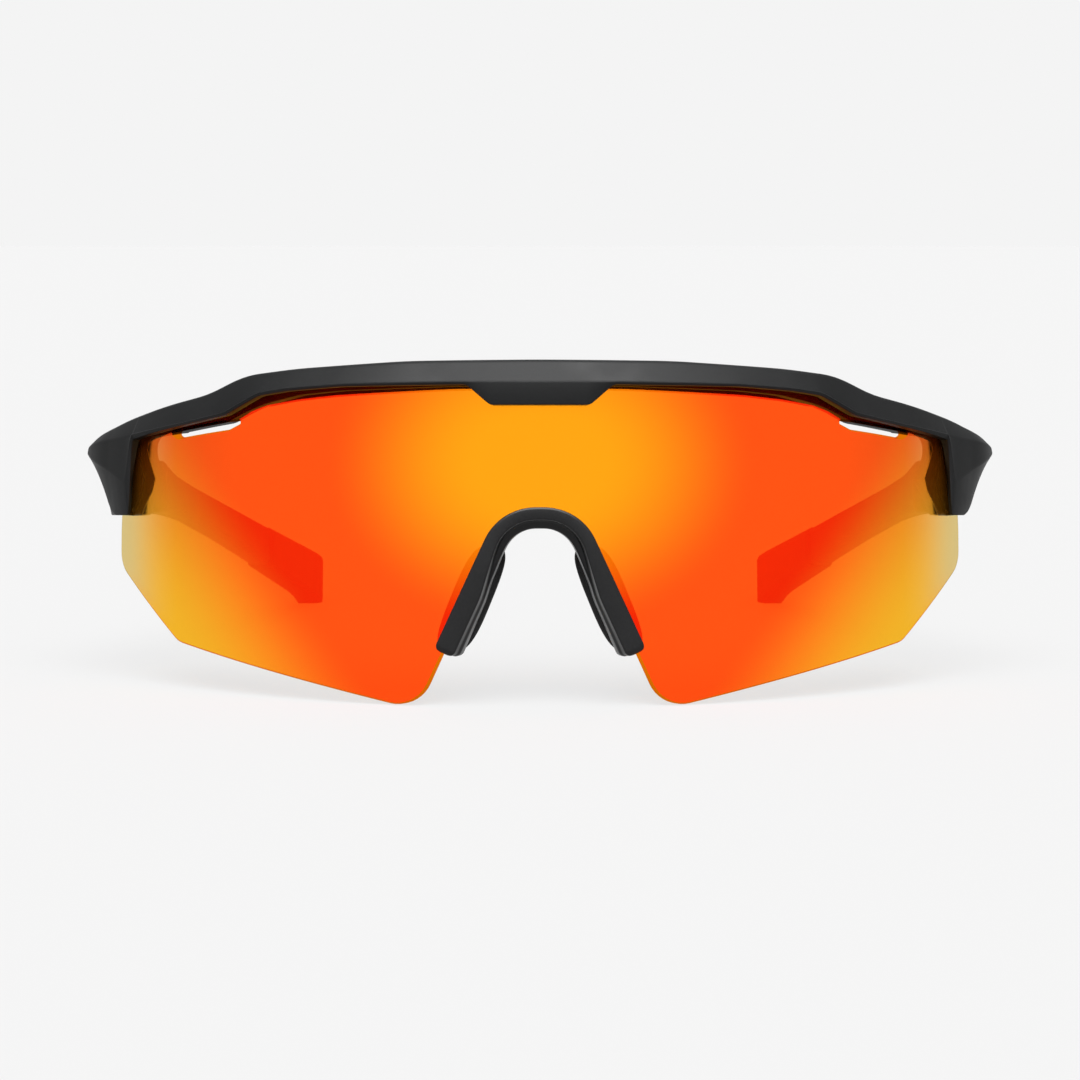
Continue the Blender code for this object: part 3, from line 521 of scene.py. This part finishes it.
def cheekOutline(inner):
    line = [(s, v) for s, v in filletCorners(cheek["parting"], 0.5, closed=False)]
    if not inner:
        return line + [(84.0, 29.6), (84.0, 43.5)]
    shift = cheek["gap"]
    corners = [(66.0, 44.0, 0)] + cheek["inner"] + [(79.3, 29.5, 0)]
    contour = [tuple(p) for p in filletCorners(corners, 0.5, closed=False)]
    return contour + [(s - shift, max(v, 29.6)) for s, v in reversed(line)]


def addIsland(bm, made):
    mesh = bpy.data.meshes.new("island")
    made.to_mesh(mesh)
    made.free()
    bm.from_mesh(mesh)
    bpy.data.meshes.remove(mesh)


def addCheeks(bm, inner):
    for side in (-1, 1):
        plate = bmesh.new()
        outline = [(side * s, v) for s, v in cheekOutline(inner)]
        back = lineAt(brow["back"], 76) + (0.5 if inner else 0.06)
        face = cheek["face"] - (0.25 if inner else 0.02)
        plateFrom(plate, outline[::side], back, face, bevel=cheek["bevel"], step=1.0)
        wrapFront(plate)
        addIsland(bm, plate)


# hinge: lugs on the frame, a knuckle on the temple, pin, insert and sleeve
pin = dict(
    lugRadius=2.6, lugInner=2.3, lugOuter=4.6, screw=0.65, head=1.5, headDeep=0.9, insert=1.4,
    bush=1.35, knuckle=2.5, knuckleHalf=2.1, soft=0.2, sides=48)


def turnedShape(bm, profile, matrix=None, closed=False):
    # an outline (radius, height) spun round the pin
    made = bmesh.new()
    verts = [made.verts.new((r, 0, z)) for r, z in profile]
    edges = [made.edges.new(pair) for pair in zip(verts, verts[1:])]
    if closed:
        edges.append(made.edges.new((verts[-1], verts[0])))
    bmesh.ops.spin(made, geom=verts + edges, axis=(0, 0, 1), cent=(0, 0, 0), angle=2 * math.pi,
                   steps=pin["sides"], use_merge=True)
    bmesh.ops.remove_doubles(made, verts=made.verts, dist=1e-4)
    bmesh.ops.recalc_face_normals(made, faces=made.faces)
    if matrix is not None:
        bmesh.ops.transform(made, verts=made.verts, matrix=matrix)
    addIsland(bm, made)


def prismShape(bm, outline, low, high, matrix=None):
    made = bmesh.new()
    face = made.faces.new([made.verts.new((x, u, low)) for x, u in outline])
    grown = bmesh.ops.extrude_face_region(made, geom=[face])
    moved = [g for g in grown["geom"] if isinstance(g, bmesh.types.BMVert)]
    bmesh.ops.translate(made, verts=moved, vec=(0, 0, high - low))
    bmesh.ops.recalc_face_normals(made, faces=made.faces)
    bmesh.ops.bevel(made, geom=made.edges[:], offset=pin["soft"], affect="EDGES", segments=3,
                    profile=0.5, material=-1)
    if matrix is not None:
        bmesh.ops.transform(made, verts=made.verts, matrix=matrix)
    addIsland(bm, made)


def addLugs(bm):
    r, low, high, soft = pin["lugRadius"], pin["lugInner"], pin["lugOuter"], pin["soft"]
    seat = high - pin["headDeep"]
    hole, bore, insert = pin["screw"] + 0.1, pin["head"] + 0.1, pin["insert"] + 0.1
    upper = [(hole, low), (r - soft, low), (r, low + soft), (r, high - soft), (r - soft, high),
             (bore + 0.1, high), (bore, high - 0.1), (bore, seat), (hole, seat)]
    lower = [(0, -high), (r - soft, -high), (r, soft - high), (r, -low - soft), (r - soft, -low),
             (insert, -low), (insert, 0.5 - high), (0, 0.5 - high)]
    web = [(-r, -6.8), (r, -6.8), (r, -0.3), (2.0, -1.63), (-2.0, -1.63), (-r, -0.3)]
    for side in (-1, 1):
        place = frontMatrix.inverted() @ hingeMatrix(side)
        turnedShape(bm, upper, place, closed=True)
        turnedShape(bm, lower, place)
        for bottom in (low, -high):
            prismShape(bm, web, bottom + 0.01, bottom + high - low - 0.01, place)


def buildBrow():
    bm = bmesh.new()
    loftRings(bm, [browRing(s, groove) for s, groove in browStations()])
    addCheeks(bm, inner=False)
    addLugs(bm)
    piece = makePiece(bm, "browFrame", frontMatrix, "frame", [frameNylon], sharp=34)
    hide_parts("brow_frame")

    bm = bmesh.new()
    addCheeks(bm, inner=True)
    piece = makePiece(bm, "cheekInserts", frontMatrix, "frame", [clipNylon])


buildBrow()
print("brow frame made")

# soft strip along the back of the brow
liner = dict(
    half=50.0, thick=1.7, gap=0.12,
    foot=[(0, 49.0), (15.4, 48.9), (35.3, 48.2), (43.2, 47.6), (49.5, 46.8), (52.8, 45.9), (56.3, 44.6),
          (60, 43.9)])


def buildLiner():
    rings = []
    half = liner["half"]
    for s in np.linspace(-half, half, 91):
        end = min(1.0, (half - abs(s)) / 1.2)
        shrink = 1 - math.sqrt(max(0.0, 1 - (1 - end) ** 2)) if end < 1 else 0.0
        back = lineAt(brow["back"], s) - liner["gap"]
        top = lineAt(brow["top"], s, 2.5) - 1.9 - shrink
        foot = lineAt(liner["foot"], s, 0.9) + shrink
        outer = back - liner["thick"] * (1 - 0.6 * shrink)
        ring = [(back, top), (outer, top), (outer, foot), (back, foot)]
        rings.append([onFront(s, w, v) for w, v in softRing(ring, [0.15, 0.7, 0.6, 0.15], steps=5)])
    bm = bmesh.new()
    loftRings(bm, rings)
    piece = makePiece(bm, "browPad", frontMatrix, "frame", [softRubber])
    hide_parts("brow_liner")


buildLiner()
print("brow pad made")

# nose clip: an arch drawn round the notch, n towards the lens and w out of its face
clip = dict(
    over=1.3, front=1.5, back=-4.8, foot=8.2,
    inside=[(0, 0.7), (5, 0.8), (12, 1.9), (40, 2.0)],
    step=[(0, 1.35), (4, 1.2), (10, 0.55), (40, 0.5)],
    grooveFront=0.22, grooveBack=-2.22, grooveFloor=-0.2, endRound=1.1)


def notchPath():
    # points down one side of the notch and up the other, and how far each is from the nearer foot
    corners = [(19.3, -0.7, 0)] + lens["notch"] + [(0, lens["notchTop"], 0)]
    half = filletCorners(corners, 0.5, closed=False)
    above = [p for p in half if p.y > clip["foot"]]
    below = half[half.index(above[0]) - 1]
    points = [below.lerp(above[0], (clip["foot"] - below.y) / (above[0].y - below.y))] + above
    runs = np.concatenate([[0], np.cumsum([(b - a).length for a, b in zip(points, points[1:])])])
    at = np.concatenate([np.linspace(0, 1.2, 9), np.linspace(1.7, runs[-1], 56)])
    across, up = (np.interp(at, runs, [p[axis] for p in points]) for axis in (0, 1))
    fine = [Vector(spot) for spot in zip(across, up)]
    fine[-1].x = 0
    return fine + [Vector((-p.x, p.y)) for p in reversed(fine[:-1])], list(at) + list(reversed(at[:-1]))


def buildNoseClip():
    path, runs = notchPath()
    over, face, back = clip["over"], clip["front"], clip["back"]
    near, far, floor = clip["grooveFront"], clip["grooveBack"], clip["grooveFloor"]
    rings = []
    for i, here in enumerate(path):
        along = (path[min(i + 1, len(path) - 1)] - path[max(i - 1, 0)]).normalized()
        out = Vector((along.y, -along.x))
        drop = max(0.0, lens["notchTop"] - here.y)
        inside = lineAt(clip["inside"], drop)
        step = inside + lineAt(clip["step"], drop)
        ring = [(over, near), (over, face), (-inside, face), (-inside - 0.12, -0.55), (-step, -1.15),
                (-step, back), (over, back), (over, far), (floor, far), (floor, near)]
        ring = softRing(ring, [0.12, 0.4, 0.32, 0.3, 0.32, 0.8, 1.2, 0.12, 0.1, 0.1])
        # the feet are rounded off, without closing on the lens
        left = min(runs[i] / clip["endRound"], 1.0)
        keep = 0.45 + 0.55 * math.sqrt(1 - (1 - left) ** 2)
        shaped = []
        for n, w in ring:
            n = floor + (n - floor) * keep
            if w > near:
                w = near + (w - near) * keep
            elif w < far:
                w = far + (w - far) * keep
            shaped.append(onFront(here.x + out.x * n, w, here.y + out.y * n))
        rings.append(shaped)
    bm = bmesh.new()
    loftRings(bm, rings)
    piece = makePiece(bm, "noseClip", frontMatrix, "nose_piece", [clipNylon], sharp=40)
    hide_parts("nose_clip")


buildNoseClip()
print("nose clip made")

# nose pads: soft oval cushions with a rolled edge and a slightly domed face
pad = dict(
    centre=Vector((10.8, 9.9, 16.4)), long=Vector((0.376, 0, -0.926)), wide=Vector((0.62, 0.785, 0)),
    length=18.0, width=9.5, thick=2.6, roll=1.1, crown=0.22, sides=72, square=3.2)


def padRing(half, share, height):
    # a squarish oval: an even superellipse
    ring = []
    power = pad["square"]
    for k in range(pad["sides"]):
        angle = 2 * math.pi * k / pad["sides"]
        along, across = math.cos(angle), math.sin(angle)
        reach = share / (abs(along) ** power + abs(across) ** power) ** (1 / power)
        ring.append(Vector((along * reach * half[0], across * reach * half[1], height)))
    return ring


def buildNosePads():
    for side, word in ((1, "left"), (-1, "right")):
        long, wide = pad["long"].normalized(), pad["wide"].normalized()
        turn = Matrix((long, wide, long.cross(wide))).transposed().to_4x4()
        place = Matrix.Diagonal((side, 1, 1, 1)) @ Matrix.Translation(pad["centre"]) @ turn
        half, thick = (pad["length"] / 2, pad["width"] / 2), pad["thick"] / 2
        flat = [h - pad["roll"] for h in half]
        rings = []
        for share in (0.25, 0.5, 0.75):
            rings.append(padRing(flat, share, -thick + pad["crown"] * share ** 2))
        for degree in range(-90, 91, 15):
            inset = pad["roll"] * (1 - math.cos(math.radians(degree)))
            height = (thick - pad["crown"]) * math.sin(math.radians(degree))
            rings.append(padRing([h - inset for h in half], 1.0, height))
        for share in (0.75, 0.5, 0.25):
            rings.append(padRing(flat, share, thick - pad["crown"] * share ** 2))
        bm = bmesh.new()
        loftRings(bm, rings)
        piece = makePiece(bm, "nosePad." + word, frontMatrix @ place, "nose_piece", [softRubber], sharp=60)
        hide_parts("nose_pad_" + word)


buildNosePads()
print("nose pads made")

# temples, drawn in the hinge's own frame with u running back from the pin
temple = dict(
    end=107.5, gripStart=68.0, pocket=3.0,
    inner=[(-8, 64.9), (-3, 64.0), (107.5, 43.3)],
    outer=[(-8, 74.7), (-2, 74.4), (4, 72.6), (12, 68.6), (20, 65.3), (35, 61.5), (107.5, 47.6)],
    low=[(-8, 70.3), (0, 69.9), (6, 68.4), (14, 65.4), (22, 63.4), (107.5, 47.3)],
    armTop=[(-8, 5.3), (0, 4.7), (4, 3.9), (9, 3.0), (20, 2.8), (50, 3.2), (80, 3.6)],
    armFoot=[(-8, -6.0), (0, -5.2), (5, -4.4), (12, -3.6), (20, -3.2), (40, -3.2), (60, -3.6),
             (80, -4.3)],
    armRidge=[(-8, 4.4), (2, 3.5), (10, 1.3), (40, 0.4), (80, 0.2)],
    gripTop=[(60, 3.3), (80, 3.7), (100, 4.1), (108, 4.1)],
    gripFoot=[(60, -3.8), (80, -4.4), (96, -4.9), (101, -5.4), (104, -6.3), (108, -6.6)],
    swell=0.35, soft=0.55, gripRidge=0.4, gripSoft=0.9, gripNose=0.45, gripTail=2.6)


def templeLine(name, u, reach=2.0):
    at, heights = zip(*temple[name])
    return float(np.mean(np.interp(np.linspace(u - reach, u + reach, 9), at, heights)))


def templeRing(side, u, inner, outer, low, top, foot, ridge, soft, shrink=0.0):
    inner, outer, low = (x - hinge["x"] for x in (inner + shrink, outer - shrink, low - shrink))
    top, foot = top - shrink, foot + shrink
    if inner > low - 0.6:
        # ahead of the pin only the outer flank is left
        start = max(low, inner + 0.02)
        rise = foot + 0.5 + (start - low) / (outer - low) * (ridge - foot - 0.5)
        ring = [(inner, rise + 0.25), (inner + 0.1, rise + 0.1), (start + 0.12, rise + 0.1),
                (start + 0.25, rise + 0.2)]
        radii = [0.05, 0.03, 0.03, 0.03]
    else:
        ring = [(inner, foot + 0.8), (inner + 0.8, foot), (low - 0.4, foot), (low, foot + 0.5)]
        radii = [soft, soft, 0.3, 0.3]
    ring += [(outer, ridge), (outer - 0.8, top - 0.1), (inner + 0.8, top), (inner, top - 0.8)]
    radii += [0.35, soft, soft, soft]
    return [Vector((side * x, u, h)) for x, h in softRing(ring, radii)]


def cutFlat(bm, point, away):
    everything = bm.verts[:] + bm.edges[:] + bm.faces[:]
    cut = bmesh.ops.bisect_plane(bm, geom=everything, plane_co=point, plane_no=away, clear_outer=True)
    rim = [e for e in cut["geom_cut"] if isinstance(e, bmesh.types.BMEdge)]
    bmesh.ops.holes_fill(bm, edges=rim)


def buildArm(side, word):
    # the front end is hollowed round the pin, so that the knuckle can turn against the lugs
    clear = temple["pocket"]
    stations = [*np.linspace(-8, 0, 17), *(clear * np.sin(np.radians(np.arange(10, 90, 10)))),
                clear - 0.01, clear + 0.01,
                *np.arange(3.6, 24, 0.7), *np.linspace(25, temple["gripStart"], 30)]
    rings = []
    for u in stations:
        inner = templeLine("inner", u)
        if u < clear:
            inner = hinge["x"] + (clear if u < 0 else math.sqrt(max(clear ** 2 - u ** 2, 0)))
        lines = [templeLine(k, u) for k in ("outer", "low", "armTop", "armFoot", "armRidge")]
        rings.append(templeRing(side, u, inner, *lines, temple["soft"]))
    made = bmesh.new()
    loftRings(made, rings)
    toHinge = hingeMatrix(side).inverted() @ frontMatrix
    end, before = onFront(side * front["end"], 0, 0), onFront(side * (front["end"] - 0.1), 0, 0)
    rear = (toHinge.to_3x3() @ (end - before)).normalized()
    cutFlat(made, toHinge @ end + rear * 0.4, -rear)
    bm = bmesh.new()
    addIsland(bm, made)
    # knuckle: a bored barrel and the web that carries it
    r, half, bore, soft = pin["knuckle"], pin["knuckleHalf"], pin["bush"] + 0.05, pin["soft"]
    barrel = [(bore, -half), (r - soft, -half), (r, soft - half), (r, half - soft), (r - soft, half),
              (bore, half)]
    turnedShape(bm, barrel, closed=True)
    web = [(-1.85, 1.62), (1.85, 1.62), (2.4, 3.2), (0.6, 5.6), (-2.4, 5.6)]
    prismShape(bm, [(side * x, u) for x, u in web], 0.02 - half, half - 0.02)
    place = hingeMatrix(side)
    piece = makePiece(bm, "templeArm." + word, place, word + "_temple", [frameNylon], sharp=34)
    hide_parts("temple_arm_" + word)


def buildGrip(side, word):
    # both ends are rounded: a small edge where the tip starts, a large one at its tail
    first, last = temple["gripStart"] + 0.12, temple["end"]
    nose, tail, swell = temple["gripNose"], temple["gripTail"], temple["swell"]
    stations = [*(first + nose * (1 - np.cos(np.radians(np.arange(0, 91, 22.5))))),
                *np.linspace(70, last - 2.8, 40),
                *(last - tail + tail * np.sin(np.radians(np.arange(8, 91, 8))))]
    rings = []
    for u in stations:
        fromNose, intoTail = 1 - min(1, (u - first) / nose), max(0, (u - last + tail) / tail)
        shrink = nose * (1 - math.sqrt(max(0, 1 - fromNose ** 2)))
        shrink += tail / 2 * (1 - math.sqrt(max(0, 1 - intoTail ** 2)))
        swollen = (("inner", -swell), ("outer", swell), ("low", swell))
        sides = [templeLine(k, u) + more for k, more in swollen]
        rings.append(templeRing(side, u, *sides, templeLine("gripTop", u), templeLine("gripFoot", u),
                                temple["gripRidge"], temple["gripSoft"], shrink))
    bm = bmesh.new()
    loftRings(bm, rings)
    # nothing of the tip reaches below the table the glasses stand on
    table = (Matrix.Translation((0, 0, hinge["z"])) @ Matrix.Rotation(-hinge["drop"], 4, "X")).inverted()
    cutFlat(bm, table @ Vector((0, 0, 0)), table.to_3x3() @ Vector((0, 0, -1)))
    place = hingeMatrix(side)
    piece = makePiece(bm, "templeGrip." + word, place, word + "_temple", [softRubber], sharp=50)
    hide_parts("temple_grip_" + word)


for side, word in ((1, "left"), (-1, "right")):
    buildArm(side, word)
    buildGrip(side, word)
print("temples made")

# CAD pieces that keep their shape
nodeFinish = {}
for word in ("left", "right"):
    nodeFinish.update({"nose_core_" + word: hingeSteel, "temple_core_" + word: hingeSteel,
                       "hinge_screw_" + word: hingeSteel, "hinge_insert_" + word: hingeBrass,
                       "hinge_bush_" + word: acetal})
for name, material in nodeFinish.items():
    nodes[name].data.materials.clear()
    nodes[name].data.materials.append(material)

# stage
studio = dict(
    white=0.905, floor=0.06, lit=0.72, sky=0.55, frontSky=1.12, box=13.0, boxFrom=math.radians(58),
    boxWide=(0.80, 0.97), horizon=(-0.45, 0.35), half=60, under=0.00003, sun=0.3,
    sunAngle=math.radians(50), sunTurn=(math.radians(-24), math.radians(6), 0))
view = dict(
    lens=109.05, sensor=36, place=(0, -0.57628, 0.07146), dip=math.radians(5.2))


def buildStage():
    bm = bmesh.new()
    bmesh.ops.create_grid(bm, x_segments=1, y_segments=1, size=studio["half"])
    bmesh.ops.translate(bm, verts=bm.verts, vec=(0, 0, -studio["under"]))
    mesh = bpy.data.meshes.new("studioFloor")
    bm.to_mesh(mesh)
    bm.free()
    floor = bpy.data.objects.new("studioFloor", mesh)
    bpy.context.scene.collection.objects.link(floor)
    plain = {"Roughness": 0.9, "Specular IOR Level": 0.0, "Emission Strength": 1.0,
             "Base Color": (*[studio["floor"]] * 3, 1), "Emission Color": (*[studio["lit"]] * 3, 1)}
    mesh.materials.append(startMaterial("studioFloor", **plain)[0])

    world = bpy.data.worlds.new("studioSky")
    bpy.context.scene.world = world
    world.use_nodes = True
    tree, links = world.node_tree.nodes, world.node_tree.links
    sky = tree["Background"]
    sky.inputs["Color"].default_value = (1, 1, 1, 1)
    # a pale studio, brighter in front, with one large softbox above and in front
    where = tree.new("ShaderNodeTexCoord")
    parts = tree.new("ShaderNodeSeparateXYZ")
    links.new(where.outputs["Generated"], parts.inputs[0])
    shades = studio["frontSky"], studio["sky"]
    around = ramp(tree, links, parts.outputs["Y"], *studio["horizon"], *shades)
    box = tree.new("ShaderNodeVectorMath")
    box.operation = "DOT_PRODUCT"
    links.new(where.outputs["Generated"], box.inputs[0])
    box.inputs[1].default_value = (0, -math.cos(studio["boxFrom"]), math.sin(studio["boxFrom"]))
    above = ramp(tree, links, box.outputs["Value"], *studio["boxWide"], 0.0, studio["box"])
    links.new(maths(tree, links, "ADD", around, above), sky.inputs["Strength"])
    seen = tree.new("ShaderNodeBackground")
    seen.inputs["Color"].default_value = (*[studio["white"]] * 3, 1)
    path = tree.new("ShaderNodeLightPath")
    mix = tree.new("ShaderNodeMixShader")
    links.new(path.outputs["Is Camera Ray"], mix.inputs[0])
    links.new(sky.outputs[0], mix.inputs[1])
    links.new(seen.outputs[0], mix.inputs[2])
    links.new(mix.outputs[0], tree["World Output"].inputs["Surface"])

    sun = bpy.data.lights.new("topSoftbox", "SUN")
    sun.energy = studio["sun"]
    sun.angle = studio["sunAngle"]
    lamp = bpy.data.objects.new("topSoftbox", sun)
    lamp.rotation_euler = studio["sunTurn"]
    bpy.context.scene.collection.objects.link(lamp)


def buildCamera():
    data = bpy.data.cameras.new("viewCamera")
    data.sensor_width = view["sensor"]
    data.lens = view["lens"]
    camera = bpy.data.objects.new("viewCamera", data)
    camera.location = view["place"]
    camera.rotation_euler = (math.pi / 2 - view["dip"], 0, 0)
    data.clip_start, data.clip_end = 0.01, 200
    bpy.context.scene.collection.objects.link(camera)
    bpy.context.scene.camera = camera


buildStage()
buildCamera()
bpy.context.scene.view_settings.view_transform = "Standard"
print("stage and camera made")
